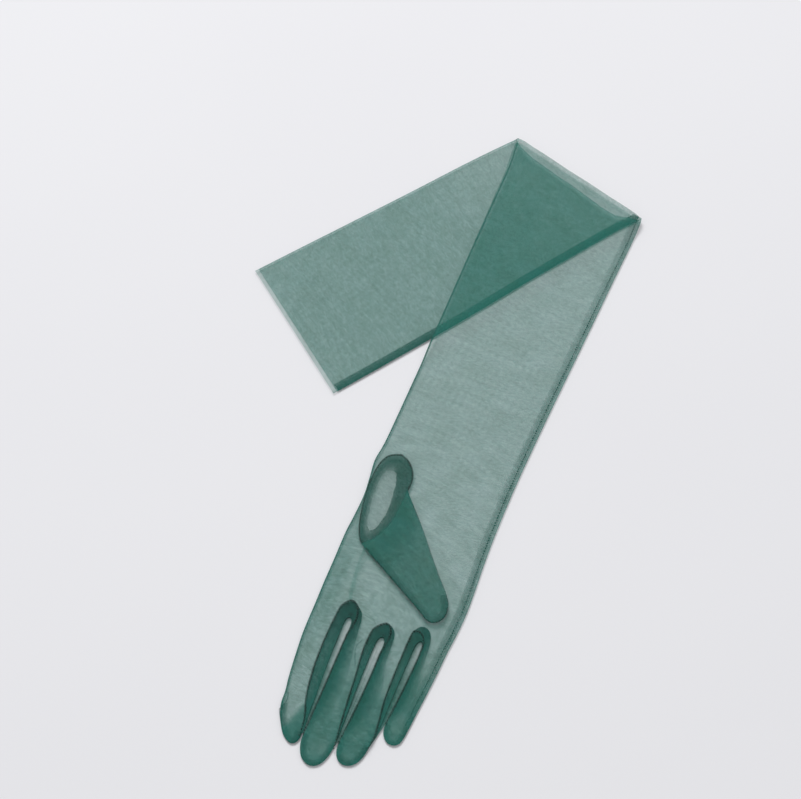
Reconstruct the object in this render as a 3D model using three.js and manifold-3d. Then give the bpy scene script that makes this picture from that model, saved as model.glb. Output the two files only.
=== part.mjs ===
import * as THREE from "three";
import { mergeVertices } from "three/addons/utils/BufferGeometryUtils.js";
import Module from "manifold-3d";

// A long evening glove of sheer net for the right hand. It lies palm up with its thumb across the palm, and the
// top of its arm is folded under at a slant, so that the cut end comes out beside the wrist. It is drawn flat and
// straight first and folded afterwards, as the real one is.
// x runs from the thumb side to the little finger side, y from the fingertips up the arm, and z up. Sizes in mm.

// Lengths along the glove
const fingerLength = 97; // middle finger, from the knuckle line to its tip
const palmLength = 135; // knuckle line to the narrow of the wrist
const armLength = 228; // wrist to the fold, along the middle of the arm
const turnedLength = 241; // fold to the cut end, along the middle of the arm

// Widths across the flat glove
const palmWidth = 89; // across the knuckles
const cutWidth = 112; // across the cut end

// The net and its seams
const net = 1; // one layer of net
const hollow = 1.6; // space left between the two layers
const edgeFlat = 0.4; // upright part of the rounded side edge
const clearance = 0.3; // between pieces that are sewn together
const allowance = 5; // width of net turned in at a seam
const fourchetteWidth = 6; // of the folded strip beside a finger
const crownHeight = 9; // of the same strip above the crotch
const seamStart = 0.7; // of the little finger: where its side seam begins

// The fold
const foldSlant = THREE.MathUtils.degToRad(18.3); // the fold, from square to the arm
const cutSlant = THREE.MathUtils.degToRad(-2.5); // the cut end, from square to the arm
const foldGap = 0.6; // between the front of the arm and the part turned under it
const restMargin = 12; // the front stays up this far past the part under it
const restRamp = 18; // and comes down to the surface over this length

// The thumb, which lies on the palm
const thumbHoleWidth = 23.4;
const thumbHoleLength = 64;
const thumbHoleMargin = 2; // from the thumb side edge of the palm to the hole
const thumbLength = 92.5; // from the middle of the hole to the tip
const thumbTipRadius = 8.5;
const thumbTurn = THREE.MathUtils.degToRad(-46.3); // direction of the thumb, from square to the arm

// Fineness of the curves
const edgeSteps = 2;
const acrossCells = 7;
const frontCells = 16;
const foldCells = 6;
const turnedCells = 11;
const outlineStep = 9;
const tipSteps = 4;
const joinLength = 6; // the hand and the arm share this stretch of the wrist

// Side edges of the palm: along is a share of palmLength, left and right are shares of palmWidth.
const palmEdges = [
  { along: 0, left: -0.48, right: 0.4955 },
  { along: 0.15, left: -0.49, right: 0.511 },
  { along: 0.37, left: -0.502, right: 0.494 },
  { along: 0.58, left: -0.49, right: 0.476 },
  { along: 0.68, left: -0.511, right: 0.47 },
  { along: 0.78, left: -0.535, right: 0.467 },
  { along: 0.88, left: -0.522, right: 0.47 },
  { along: 1, left: -0.521, right: 0.476 },
];

// Fingers from the thumb side. length is a share of fingerLength, tip and the columns left and right are shares
// of palmWidth, and along is a share of the finger's own length.
const fingers = [
  {
    name: "index",
    length: 0.914,
    tip: -0.228,
    edges: [
      { along: 0, left: -0.48, right: -0.242 },
      { along: 0.45, left: -0.443, right: -0.226 },
      { along: 0.7, left: -0.405, right: -0.206 },
      { along: 0.82, left: -0.376, right: -0.19 },
    ],
  },
  {
    name: "middle",
    length: 1,
    tip: -0.061,
    edges: [
      { along: 0, left: -0.188, right: 0.02 },
      { along: 0.45, left: -0.182, right: 0.025 },
      { along: 0.75, left: -0.176, right: 0.046 },
      { along: 0.88, left: -0.168, right: 0.046 },
    ],
  },
  {
    name: "ring",
    length: 0.914,
    tip: 0.168,
    edges: [
      { along: 0, left: 0.076, right: 0.274 },
      { along: 0.45, left: 0.084, right: 0.274 },
      { along: 0.78, left: 0.075, right: 0.265 },
      { along: 0.88, left: 0.076, right: 0.255 },
    ],
  },
  {
    name: "little",
    length: 0.691,
    tip: 0.391,
    edges: [
      { along: 0, left: 0.33, right: 0.4955 },
      { along: 0.45, left: 0.325, right: 0.481 },
      { along: 0.7, left: 0.312, right: 0.462 },
      { along: 0.84, left: 0.304, right: 0.45 },
    ],
  },
];

// Slits between neighbouring fingers: top and end are shares of fingerLength below the knuckle line.
const slits = [
  { name: "index_middle", top: 0.026, end: 0.8 },
  { name: "middle_ring", top: 0.07, end: 0.8 },
  { name: "ring_little", top: 0.008, end: 0.6 },
];

const tube = 2 * net + hollow; // height of the flattened glove
const bendRadius = (tube + foldGap) / 2; // of the middle of the tube at the fold
const rise = 2 * bendRadius; // the front of the arm over the part turned under it
const wristY = palmLength;
const foldY = wristY + armLength;
const cutY = foldY + turnedLength;
const foldNormal = new THREE.Vector2(Math.sin(foldSlant), Math.cos(foldSlant));

const wasm = await Module();
wasm.setup();

// Closed three.js geometry as a solid that can be joined and cut
function toSolid(geometry) {
  geometry.deleteAttribute("normal");
  geometry.deleteAttribute("uv");
  const merged = mergeVertices(geometry, 1e-4);
  return new wasm.Manifold(
    new wasm.Mesh({
      numProp: 3,
      vertProperties: merged.attributes.position.array,
      triVerts: new Uint32Array(merged.index.array),
    }),
  );
}

function toGeometry(solid) {
  const mesh = solid.getMesh();
  const geometry = new THREE.BufferGeometry();
  geometry.setAttribute("position", new THREE.BufferAttribute(new Float32Array(mesh.vertProperties), 3));
  geometry.setIndex(new THREE.BufferAttribute(new Uint32Array(mesh.triVerts), 1));
  return geometry;
}

// Smooth value of one column of a table at a place along it
function columnAt(rows, column, along) {
  let i = 0;
  while (i < rows.length - 2 && along > rows[i + 1].along) {
    i += 1;
  }
  const before = rows[Math.max(i - 1, 0)];
  const from = rows[i];
  const to = rows[i + 1];
  const after = rows[Math.min(i + 2, rows.length - 1)];
  const span = to.along - from.along;
  const slopeFrom = ((to[column] - before[column]) / (to.along - before.along)) * span;
  const slopeTo = ((after[column] - from[column]) / (after.along - from.along)) * span;
  const t = THREE.MathUtils.clamp((along - from.along) / span, 0, 1);
  const rest = 1 - t;
  return (
    rest * rest * (1 + 2 * t) * from[column] +
    t * t * (3 - 2 * t) * to[column] +
    t * rest * (rest * slopeFrom - t * slopeTo)
  );
}

// Side edge of the palm and of the arm, on the straight glove
function sideX(side, y) {
  if (y <= wristY) {
    return palmWidth * columnAt(palmEdges, side, y / palmLength);
  }
  const wristX = palmWidth * palmEdges.at(-1)[side];
  const cutX = cutWidth * (side === "left" ? -0.459 : 0.541);
  const start = wristY + joinLength;
  return wristX + (cutX - wristX) * Math.max(y - start, 0) / (cutY - start);
}

function fingerX(finger, side, y) {
  return palmWidth * columnAt(finger.edges, side, -y / (finger.length * fingerLength));
}

// Points down one side of a finger, round its tip and up the other side
function fingerOutline(finger, leftTop, rightTop) {
  const tipY = -finger.length * fingerLength;
  const capY = tipY * finger.edges.at(-1).along;
  const points = [];
  const side = (name, top) => {
    const count = Math.ceil((top - capY) / outlineStep);
    return Array.from({ length: count }, (_, i) => {
      const y = top + ((capY - top) * i) / count;
      return new THREE.Vector2(fingerX(finger, name, y), y);
    });
  };
  points.push(...side("left", leftTop));
  for (const name of ["left", "right"]) {
    const reach = fingerX(finger, name, capY) - finger.tip * palmWidth;
    for (let i = 0; i < tipSteps; i += 1) {
      const share = name === "left" ? i / tipSteps : 1 - i / tipSteps;
      const angle = (share * Math.PI) / 2;
      const x = finger.tip * palmWidth + reach * Math.cos(angle);
      points.push(new THREE.Vector2(x, capY + (tipY - capY) * Math.sin(angle)));
    }
  }
  const last = new THREE.Vector2(fingerX(finger, "right", capY), capY);
  points.push(last, ...side("right", rightTop).reverse());
  return points;
}

// Outline of a slit grown by margin into both fingers and by crown above it: up one side, over and down
function slitOutline(index, margin, crown) {
  const [before, after] = [fingers[index], fingers[index + 1]];
  const topY = -slits[index].top * fingerLength;
  const endY = -slits[index].end * fingerLength;
  const count = Math.ceil((topY - endY) / outlineStep);
  const left = [];
  const right = [];
  for (let i = 0; i < count; i += 1) {
    const y = endY + ((topY - endY) * i) / count;
    left.push(new THREE.Vector2(fingerX(before, "right", y) - margin, y));
    right.unshift(new THREE.Vector2(fingerX(after, "left", y) + margin, y));
  }
  const leftX = fingerX(before, "right", topY) - margin;
  const rightX = fingerX(after, "left", topY) + margin;
  const arch = [];
  for (let i = 0; i <= 2 * tipSteps; i += 1) {
    const angle = Math.PI * (1 - i / (2 * tipSteps));
    const x = (leftX + rightX) / 2 + ((rightX - leftX) / 2) * Math.cos(angle);
    arch.push(new THREE.Vector2(x, topY + crown * Math.sin(angle)));
  }
  return [...left, ...arch, ...right];
}

// Height of the round top of a slit
function archHeight(index) {
  const topY = -slits[index].top * fingerLength;
  return (fingerX(fingers[index + 1], "left", topY) - fingerX(fingers[index], "right", topY)) / 2;
}

function handOutline() {
  const points = [];
  const palmSteps = Math.round(palmLength / outlineStep);
  const palmSide = (name) =>
    Array.from({ length: palmSteps + 1 }, (_, i) => {
      const y = (palmLength * i) / palmSteps;
      return new THREE.Vector2(sideX(name, y), y);
    });
  const endY = wristY + joinLength;
  points.push(new THREE.Vector2(sideX("left", endY), endY), ...palmSide("left").reverse());
  fingers.forEach((finger, index) => {
    const leftTop = index > 0 ? -slits[index - 1].top * fingerLength : 0;
    const rightTop = index < slits.length ? -slits[index].top * fingerLength : 0;
    points.push(...fingerOutline(finger, leftTop, rightTop).slice(1, index < slits.length ? undefined : -1));
    if (index < slits.length) {
      const arch = slitOutline(index, 0, archHeight(index));
      const from = Math.ceil(((slits[index].end - slits[index].top) * fingerLength) / outlineStep);
      points.push(...arch.slice(from + 1, from + 2 * tipSteps + 1));
    }
  });
  points.push(...palmSide("right"), new THREE.Vector2(sideX("right", endY), endY));
  return points;
}

// A flat outline as a plate between two heights
function plate(points, low, high, hole) {
  const shape = new THREE.Shape(points);
  if (hole) {
    shape.holes.push(new THREE.Path(hole));
  }
  const geometry = new THREE.ExtrudeGeometry(shape, { depth: high - low, bevelEnabled: false });
  return toSolid(geometry.translate(0, 0, low));
}

// A flat outline as a flattened tube with round edges, drawn in by shrink for the hollow inside
function pillow(points, low, shrink) {
  const round = (tube - edgeFlat) / 2 - shrink;
  const geometry = new THREE.ExtrudeGeometry(new THREE.Shape(points), {
    depth: edgeFlat,
    bevelThickness: round,
    bevelSize: round,
    bevelOffset: -round - shrink,
    bevelSegments: edgeSteps,
  });
  return toSolid(geometry.translate(0, 0, low + shrink + round));
}

// How far the front of the arm is held up by the part turned under it, from 0 to 1
function restShare(x, y) {
  const past = x * foldNormal.x + (y - foldY) * foldNormal.y;
  const mirrorX = x - 2 * past * foldNormal.x;
  const mirrorY = y - 2 * past * foldNormal.y;
  const inside = sideX("right", mirrorY) - mirrorX;
  return THREE.MathUtils.smoothstep(inside, -restMargin - restRamp, -restMargin);
}

// The place in the folded glove of a point of the straight one
function fold(x, y, z) {
  const past = x * foldNormal.x + (y - foldY) * foldNormal.y;
  if (past <= 0) {
    return new THREE.Vector3(x, y, z + rise * restShare(x, y));
  }
  const angle = Math.min(past / bendRadius, Math.PI);
  const radius = bendRadius + z - tube / 2;
  const reach = radius * Math.sin(angle) - Math.max(past - Math.PI * bendRadius, 0);
  return new THREE.Vector3(
    x + (reach - past) * foldNormal.x,
    y + (reach - past) * foldNormal.y,
    tube / 2 + rise - bendRadius + radius * Math.cos(angle),
  );
}

// Cross lines of the arm: where each crosses the middle, and how much it slopes down to the little finger side
function armLines(startY, endY) {
  const slope = Math.tan(foldSlant);
  const bendLength = (Math.PI * bendRadius) / Math.cos(foldSlant);
  const lines = [{ y: startY, slope: 0 }];
  const frontY = wristY + joinLength;
  for (let i = 0; i < frontCells; i += 1) {
    const share = i / frontCells;
    lines.push({ y: frontY + (foldY - frontY) * share, slope: slope * THREE.MathUtils.smoothstep(share, 0, 1) });
  }
  for (let i = 0; i <= foldCells; i += 1) {
    lines.push({ y: foldY + (bendLength * i) / foldCells, slope });
  }
  for (let i = 1; i <= turnedCells; i += 1) {
    const share = i / turnedCells;
    const y = foldY + bendLength + (endY - foldY - bendLength) * share;
    lines.push({ y, slope: slope + (Math.tan(cutSlant) - slope) * share });
  }
  return lines;
}

// A closed body through rings of points; each ring runs along its underside and back along its top
function loft(rings) {
  const count = rings[0].length;
  const positions = rings.flat().flatMap((point) => point.toArray());
  const index = [];
  const quad = (a, b, c, d) => index.push(a, b, c, a, c, d);
  for (let r = 0; r + 1 < rings.length; r += 1) {
    for (let i = 0; i < count; i += 1) {
      const next = (i + 1) % count;
      quad(r * count + next, r * count + i, (r + 1) * count + i, (r + 1) * count + next);
    }
  }
  const last = (rings.length - 1) * count;
  for (let i = 0; i + 1 < count / 2; i += 1) {
    quad(i, i + 1, count - 2 - i, count - 1 - i);
    quad(last + i + 1, last + i, last + count - 1 - i, last + count - 2 - i);
  }
  const geometry = new THREE.BufferGeometry();
  geometry.setAttribute("position", new THREE.Float32BufferAttribute(positions, 3));
  geometry.setIndex(index);
  return toSolid(geometry);
}

// A ring from its underside: the top mirrors it at the same height above the middle of the tube
function closedRing(underside, line) {
  const place = ({ x, z }) => fold(x, line.y - line.slope * x, z);
  const top = underside.map(({ x, z }) => ({ x, z: tube - z })).reverse();
  return [...underside, ...top].map(place);
}

// The arm as a flattened tube, drawn in by shrink for the hollow inside
function arm(startY, endY, shrink) {
  const round = (tube - edgeFlat) / 2 - shrink;
  return loft(
    armLines(startY, endY).map((line) => {
      const left = sideX("left", line.y) + shrink;
      const right = sideX("right", line.y) - shrink;
      const seamX = sideX("right", line.y) - net - clearance - allowance;
      const underside = [];
      for (let i = edgeSteps; i > 0; i -= 1) {
        const angle = (i / edgeSteps) * (Math.PI / 2);
        underside.push({ x: left + round * (1 - Math.sin(angle)), z: shrink + round * (1 - Math.cos(angle)) });
      }
      for (let i = 0; i <= acrossCells; i += 1) {
        const x = left + round + ((seamX - left - round) * i) / acrossCells;
        underside.push({ x, z: shrink });
      }
      underside.push({ x: right - round, z: shrink });
      for (let i = 1; i <= edgeSteps; i += 1) {
        const angle = (i / edgeSteps) * (Math.PI / 2);
        underside.push({ x: right - round * (1 - Math.sin(angle)), z: shrink + round * (1 - Math.cos(angle)) });
      }
      return closedRing(underside, line);
    }),
  );
}

// Oval seam round the thumb hole, drawn in by inset
const thumbHoleY = 0.6 * palmLength;
const thumbHoleX = sideX("left", thumbHoleY) + thumbHoleMargin + thumbHoleWidth / 2;
function thumbHolePoint(angle, inset) {
  const y = (thumbHoleLength / 2 - inset) * Math.sin(angle);
  const lean = -0.04 * y;
  return new THREE.Vector2(
    thumbHoleX + lean + (thumbHoleWidth / 2 - inset) * Math.cos(angle),
    thumbHoleY + y,
  );
}

function ovalOutline(inset) {
  const count = 8 * tipSteps;
  return Array.from({ length: count }, (_, i) => thumbHolePoint((2 * Math.PI * i) / count, inset));
}

// The thumb lies from the hole to its round tip, between two straight edges that leave the oval here
const thumbUpperAngle = THREE.MathUtils.degToRad(12);
const thumbLowerAngle = THREE.MathUtils.degToRad(262);
const thumbTip = new THREE.Vector2(thumbLength - thumbTipRadius, 0)
  .rotateAround(new THREE.Vector2(), thumbTurn)
  .add(new THREE.Vector2(thumbHoleX, thumbHoleY));

// Direction from the tip's centre to where a line from a point touches the tip
function touchAngle(point, side) {
  const away = point.clone().sub(thumbTip);
  return away.angle() + side * Math.acos(thumbTipRadius / away.length());
}

function thumbTipPoint(angle, radius) {
  return thumbTip.clone().add(new THREE.Vector2(Math.cos(angle), Math.sin(angle)).multiplyScalar(radius));
}

function thumbOutline() {
  const lower = touchAngle(thumbHolePoint(thumbLowerAngle, 0), 1) - 2 * Math.PI;
  const upper = touchAngle(thumbHolePoint(thumbUpperAngle, 0), -1);
  const sweep = THREE.MathUtils.euclideanModulo(upper - lower, 2 * Math.PI);
  const points = [];
  for (let i = 0; i <= 2 * tipSteps; i += 1) {
    points.push(thumbTipPoint(lower + (sweep * i) / (2 * tipSteps), thumbTipRadius));
  }
  const ovalSteps = 6 * tipSteps;
  for (let i = 0; i <= ovalSteps; i += 1) {
    const angle = thumbUpperAngle + ((thumbLowerAngle - thumbUpperAngle) * i) / ovalSteps;
    points.push(thumbHolePoint(angle, 0));
  }
  return points;
}

// Net turned in along the lower edge of the thumb and round its tip
function thumbAllowanceOutline() {
  const root = thumbHolePoint(thumbLowerAngle, 0);
  const lower = touchAngle(root, 1) - 2 * Math.PI;
  const along = thumbTipPoint(lower, thumbTipRadius).sub(root);
  const inward = new THREE.Vector2(-along.y, along.x).normalize();
  const outerInset = net + clearance;
  const innerInset = outerInset + allowance;
  const start = root.clone().add(along.clone().multiplyScalar(0.12));
  const sweep = Math.PI * 0.6;
  const arc = (inset) =>
    Array.from({ length: tipSteps + 1 }, (_, i) =>
      thumbTipPoint(lower + (sweep * i) / tipSteps, thumbTipRadius - inset),
    );
  return [
    start.clone().add(inward.clone().multiplyScalar(outerInset)),
    ...arc(outerInset),
    ...arc(innerInset).reverse(),
    start.clone().add(inward.clone().multiplyScalar(innerInset)),
  ];
}

// Palm, back, finger fronts and backs and the arm: one tube of net
function buildTrank() {
  const outline = handOutline();
  let body = pillow(outline, 0, 0).add(arm(wristY, cutY, 0));
  body = body.subtract(pillow(outline, 0, net)).subtract(arm(wristY + net, cutY + 2 * net, net));
  slits.forEach((slit, index) => {
    const open = net + hollow / 2;
    body = body.subtract(plate(slitOutline(index, open, archHeight(index) + open), net, net + hollow));
  });
  return body.subtract(plate(ovalOutline(0), tube / 2, tube + net));
}

// Strip folded in between two fingers, from one finger round the crotch to the next
function buildFourchette(index) {
  const outer = slitOutline(index, fourchetteWidth, archHeight(index) + crownHeight);
  const inner = slitOutline(index, 0, archHeight(index));
  return plate([...outer, ...inner.reverse()], net + clearance, net + hollow - clearance);
}

// Net turned in along the little finger side, from the fingertip to the cut end
function buildSideSeam() {
  const little = fingers.at(-1);
  const edgeX = (y) => (y < 0 ? fingerX(little, "right", y) : sideX("right", y));
  const startY = -seamStart * little.length * fingerLength;
  const handSteps = Math.round((wristY - startY) / outlineStep);
  const lines = [];
  for (let i = 0; i < handSteps; i += 1) {
    lines.push({ y: startY + ((wristY - startY) * i) / handSteps, slope: 0 });
  }
  lines.push(...armLines(wristY, cutY - net));
  return loft(
    lines.map((line) => {
      const right = edgeX(line.y) - net - clearance;
      const z = net + clearance;
      return closedRing([{ x: right - allowance, z }, { x: right, z }], line);
    }),
  );
}

function buildThumb() {
  const low = tube + clearance;
  const outline = thumbOutline();
  const body = pillow(outline, low, 0).subtract(pillow(outline, low, net));
  const inset = net + clearance;
  return body.subtract(plate(ovalOutline(inset), low - net, low + net + hollow / 2));
}

// Net turned in round the thumb hole, in the thickness of the palm's upper layer
function buildThumbHoleSeam() {
  const outline = ovalOutline(clearance);
  return plate(outline, tube - net, tube, ovalOutline(clearance + allowance).reverse());
}

function buildThumbSideSeam() {
  const low = tube + clearance + net + clearance;
  return plate(thumbAllowanceOutline(), low, low + hollow - 2 * clearance);
}

const netGreen = new THREE.Color(0x5d8f82);
const seamGreen = new THREE.Color(0x2a5f52);

function piece(name, solid, color, opacity) {
  const material = new THREE.MeshStandardMaterial({
    color,
    roughness: 0.75,
    metalness: 0,
    transparent: opacity < 1,
    opacity,
  });
  const geometry = toGeometry(solid).toNonIndexed();
  geometry.computeVertexNormals();
  const mesh = new THREE.Mesh(geometry, material);
  mesh.name = name;
  return mesh;
}

const glove = new THREE.Group();
glove.add(piece("trank", buildTrank(), netGreen, 0.7));
glove.add(piece("thumb", buildThumb(), netGreen, 0.7));
slits.forEach((slit, index) => {
  glove.add(piece("fourchette_" + slit.name, buildFourchette(index), seamGreen, 0.85));
});
glove.add(piece("side_seam", buildSideSeam(), seamGreen, 0.85));
glove.add(piece("thumb_hole_seam", buildThumbHoleSeam(), seamGreen, 0.85));
glove.add(piece("thumb_side_seam", buildThumbSideSeam(), seamGreen, 0.85));

// The origin is under the middle of the glove, on the surface that it lies on.
const box = new THREE.Box3().setFromObject(glove);
const middle = box.getCenter(new THREE.Vector3());
glove.position.set(-middle.x, -middle.y, -box.min.z);

const evening = new THREE.Group();
evening.add(glove);

export default evening;
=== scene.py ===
import math
import bmesh
import bpy
import numpy as np
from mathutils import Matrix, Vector, geometry, noise


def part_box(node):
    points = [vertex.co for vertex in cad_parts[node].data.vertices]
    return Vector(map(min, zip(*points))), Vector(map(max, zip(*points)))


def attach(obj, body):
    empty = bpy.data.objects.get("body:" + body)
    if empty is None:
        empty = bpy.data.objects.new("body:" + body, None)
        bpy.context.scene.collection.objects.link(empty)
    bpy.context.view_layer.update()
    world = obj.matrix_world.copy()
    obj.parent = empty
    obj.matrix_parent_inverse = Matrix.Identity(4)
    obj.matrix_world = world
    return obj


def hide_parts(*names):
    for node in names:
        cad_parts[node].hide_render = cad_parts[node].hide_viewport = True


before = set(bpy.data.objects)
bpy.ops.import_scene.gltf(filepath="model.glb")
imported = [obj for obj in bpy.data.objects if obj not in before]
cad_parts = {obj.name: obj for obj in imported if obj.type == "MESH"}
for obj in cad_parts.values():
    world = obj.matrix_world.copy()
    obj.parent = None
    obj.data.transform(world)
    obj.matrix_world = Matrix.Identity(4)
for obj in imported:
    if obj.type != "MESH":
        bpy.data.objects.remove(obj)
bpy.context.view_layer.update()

# A sheer net evening glove that lies flat, palm up, its thumb across the palm and the top of its arm turned under.
# Everything is drawn in millimetres on the flat, straight glove: the knuckle line is y = 0, the thumb side is -x
# and the arm runs up +y. place() folds the arm and sets the result down in the frame, in metres.
crotchX = 0.0046  # of the strip between middle and ring finger from the origin of the drawing, in metres
tipReach = 0.097  # from the knuckle line to the middle fingertip, in metres
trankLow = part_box("trank")[0]
crotchLow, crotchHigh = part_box("fourchette_middle_ring")
originX = (crotchLow.x + crotchHigh.x) / 2 - crotchX
originY = trankLow.y + tipReach


def report(text):
    print("glove:", text)


# spot is over the origin of the drawing, look is the direction, lens and sensor are in mm
cameraSpec = {"spot": (0.1777, -0.4002, 1.015), "look": (-0.19266, 0.46958, -0.86163), "lens": 80.9, "sensor": 36,
              "farthest": 20}


def makeCamera():
    data = bpy.data.cameras.new("camera")
    data.lens = cameraSpec["lens"]
    data.sensor_width = cameraSpec["sensor"]
    data.clip_end = cameraSpec["farthest"]
    camera = bpy.data.objects.new("camera", data)
    bpy.context.scene.collection.objects.link(camera)
    spot = Vector(cameraSpec["spot"])
    camera.location = (spot.x + originX, spot.y + originY, spot.z)
    camera.rotation_euler = Vector(cameraSpec["look"]).to_track_quat("-Z", "Y").to_euler()
    bpy.context.scene.camera = camera


glove = {
    "low": 0.5,  # height of the lower layer of net over the surface
    "high": 2.1,  # and of the upper one
    "foldSlant": 18.0,  # degrees
    "foldAt": 346.4,  # distance of the fold from the middle knuckle, square to it
    "bend": 1.5,  # radius of the fold
    "taper": 2.6,  # the layers come together over this width at a closed edge
    "restRamp": 12.0,  # the arm comes down from the part under it over this length
    "restFrom": 130,  # and only this far up the arm
    "innerFade": 45,  # the lead of the lower layer at the fold dies out over this length
    "settle": (0.3, -0.7),  # the hand lies this far from where it is drawn
    "settleOver": 200,  # and the arm less, up to the fold
    "topCut": 3.0,  # the upper layer ends this much before the lower one
    "wave": (0.3, 23, 0.16, 9),  # low ripples: height and size, twice
    "waveMost": 0.35,
}
slant = math.radians(glove["foldSlant"])
foldNormal = np.array([math.sin(slant), math.cos(slant)])
foldAlong = np.array([math.cos(slant), -math.sin(slant)])
middle = (glove["low"] + glove["high"]) / 2

# The lower layer folds a little before the upper one: distance along the fold, and how much before
innerFold = np.array([(-170, 0), (-163, 3.9), (-151, 6.5), (-130, 7.4), (-113, 7.7), (-98, 8.6), (-87, 9.6),
                      (-76, 9.2), (-66, 4), (-58, 0)], float)

# Edges, from the cut end or the wrist towards the fingertips, and back up
thumbSideEdge = [(-52.4, 600), (-52.7, 564), (-53, 519), (-53.4, 473), (-54.2, 427), (-53.8, 390), (-52.3, 378),
                 (-50, 355), (-49.6, 328), (-49.1, 300), (-48.6, 270), (-47.3, 205), (-46.4, 135), (-46.5, 117),
                 (-47.4, 105), (-45.5, 91.4), (-44, 78.6), (-44.1, 62.3), (-44.5, 50.5), (-43.8, 30.5),
                 (-43.4, 15), (-42.7, 0), (-41.9, -20), (-40.1, -36.4), (-38.2, -50), (-36.3, -60), (-35.6, -67.3),
                 (-33.6, -73.5), (-30.4, -79.5), (-26.2, -85.2), (-20.6, -88.4), (-17, -86.2), (-16.3, -80)]
slitOne = [(-16.3, -80), (-18, -60), (-20.2, -30), (-21.3, -8), (-20.9, -3.2), (-19.1, -1.4), (-17.3, -3.2),
           (-16.6, -8), (-16, -30), (-15.6, -50), (-15.3, -70), (-15.5, -80)]
middleTip = [(-15.5, -80), (-14.6, -86.8), (-11, -93.6), (-5, -96.6), (0.4, -94.2), (3.6, -87.5), (4.4, -80)]
slitTwo = [(4.4, -80), (4.2, -70), (2.4, -40), (1.6, -14), (2.2, -8.2), (4.3, -6), (6.4, -8.2), (6.9, -14),
           (7.4, -40), (6.9, -60), (5.9, -77)]
ringTip = [(5.9, -77), (7.2, -84), (10.6, -88), (15, -88.8), (19.4, -86.4), (22.4, -81), (23.8, -73)]
slitThree = [(23.8, -73), (24.9, -60), (24.6, -40), (24.4, -8), (25, -2), (26.9, 0.4), (28.8, -2), (29.3, -8),
             (28.5, -40), (27.1, -56)]
seamSideEdge = [(27.1, -56), (27.7, -61.6), (31, -66), (35.3, -67.2), (38.8, -65.2), (40.4, -60), (41.5, -46),
                (42.7, -30), (43.6, -16.4), (44.3, 0), (45.2, 11), (45.8, 26), (45.1, 44), (43.9, 62.3),
                (43.1, 80.5), (42.8, 100), (42.8, 117), (43.1, 135), (44.6, 180), (47.3, 240), (48.6, 270),
                (49.4, 290), (50.3, 310), (51.2, 330), (51.5, 345), (50.2, 356), (49.6, 366), (49.8, 380),
                (50.4, 395), (51.2, 411), (51.8, 428), (52.6, 445), (56, 500), (58.3, 560), (59.5, 604)]


# A smooth curve through the points
def smoothPath(points, step):
    p = np.array(points, float)
    count = len(p)
    path = []
    for i in range(count - 1):
        pick = [min(max(i + k, 0), count - 1) for k in (-1, 0, 1, 2)]
        a, b, c, d = p[pick]
        cells = max(1, round(float(np.linalg.norm(c - b)) / step))
        for j in range(cells):
            t = j / cells
            path.append(0.5 * (2 * b + (c - a) * t + (2 * a - 5 * b + 4 * c - d) * t**2
                               + (3 * b - a - 3 * c + d) * t**3))
    path.append(p[-1])
    return np.array(path)


fineStep = 0.4


# The same curve with its points evenly apart
def evenPath(points, step):
    fine = smoothPath(points, fineStep)
    reach = np.concatenate([[0], np.cumsum(np.linalg.norm(np.diff(fine, axis=0), axis=1))])
    at = np.linspace(0, reach[-1], max(2, round(reach[-1] / step) + 1))
    return np.stack([np.interp(at, reach, fine[:, k]) for k in range(fine.shape[1])], 1)


def distanceTo(points, path, closed=False):
    a = np.asarray(path, float)
    b = np.roll(a, -1, axis=0)
    if not closed:
        a, b = a[:-1], b[:-1]
    best = np.full(len(points), 1e9)
    for p, q in zip(a, b):
        d = q - p
        t = np.clip(((points - p) @ d) / max(float(d @ d), 1e-9), 0, 1)
        gap = points - p - t[:, None] * d
        best = np.minimum(best, np.einsum("ij,ij->i", gap, gap))
    return np.sqrt(best)


# Direction square to a line, to its left
def sideOf(line):
    way = np.gradient(line, axis=0)
    return np.stack([-way[:, 1], way[:, 0]], 1) / np.linalg.norm(way, axis=1)[:, None]


def inside(points, loop):
    hit = np.zeros(len(points), bool)
    x, y = points[:, 0], points[:, 1]
    for (x0, y0), (x1, y1) in zip(loop, np.roll(loop, -1, axis=0)):
        if y0 != y1:
            crosses = (y0 > y) != (y1 > y)
            hit ^= crosses & (x < (x1 - x0) * (y - y0) / (y1 - y0) + x0)
    return hit


def bump(distance, width):
    return np.exp(-((distance / width) ** 2))


def smoothStep(value, low, high):
    t = np.clip((value - low) / (high - low), 0, 1)
    return t * t * (3 - 2 * t)


def pastFold(points):
    return points @ foldNormal - glove["foldAt"]


def seamX(y):
    edge = np.array(seamSideEdge[5:], float)
    return np.interp(y, edge[:, 1], edge[:, 0])


# Folds the arm and sets points of the drawing down in the frame. inner is 1 for the lower layer, which turns first
def place(points, heights, inner=0):
    points = np.asarray(points, float)
    past = pastFold(points)
    bend = glove["bend"]
    mirror = points - 2 * past[:, None] * foldNormal
    over = seamX(mirror[:, 1]) - mirror[:, 0]
    lift = 2 * bend * smoothStep(over, -glove["restRamp"], 0) * (points[:, 1] > glove["restFrom"])
    angle = np.clip(past / bend, 0, math.pi)
    radius = bend + heights - middle
    reach = radius * np.sin(angle) - np.maximum(past - math.pi * bend, 0)
    move = np.where(past > 0, reach - past, 0)
    along = points @ foldAlong
    lead = np.interp(along, innerFold[:, 0], innerFold[:, 1])
    move = move - inner * lead * np.exp(-np.abs(past) / glove["innerFade"])
    settled = np.outer(smoothStep(-past, 0, glove["settleOver"]), glove["settle"])
    flat = points + move[:, None] * foldNormal + settled
    z = np.where(past > 0, middle + bend + radius * np.cos(angle), heights + lift)
    return np.stack([flat[:, 0] / 1000 + originX, flat[:, 1] / 1000 + originY, z / 1000], 1)


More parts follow.
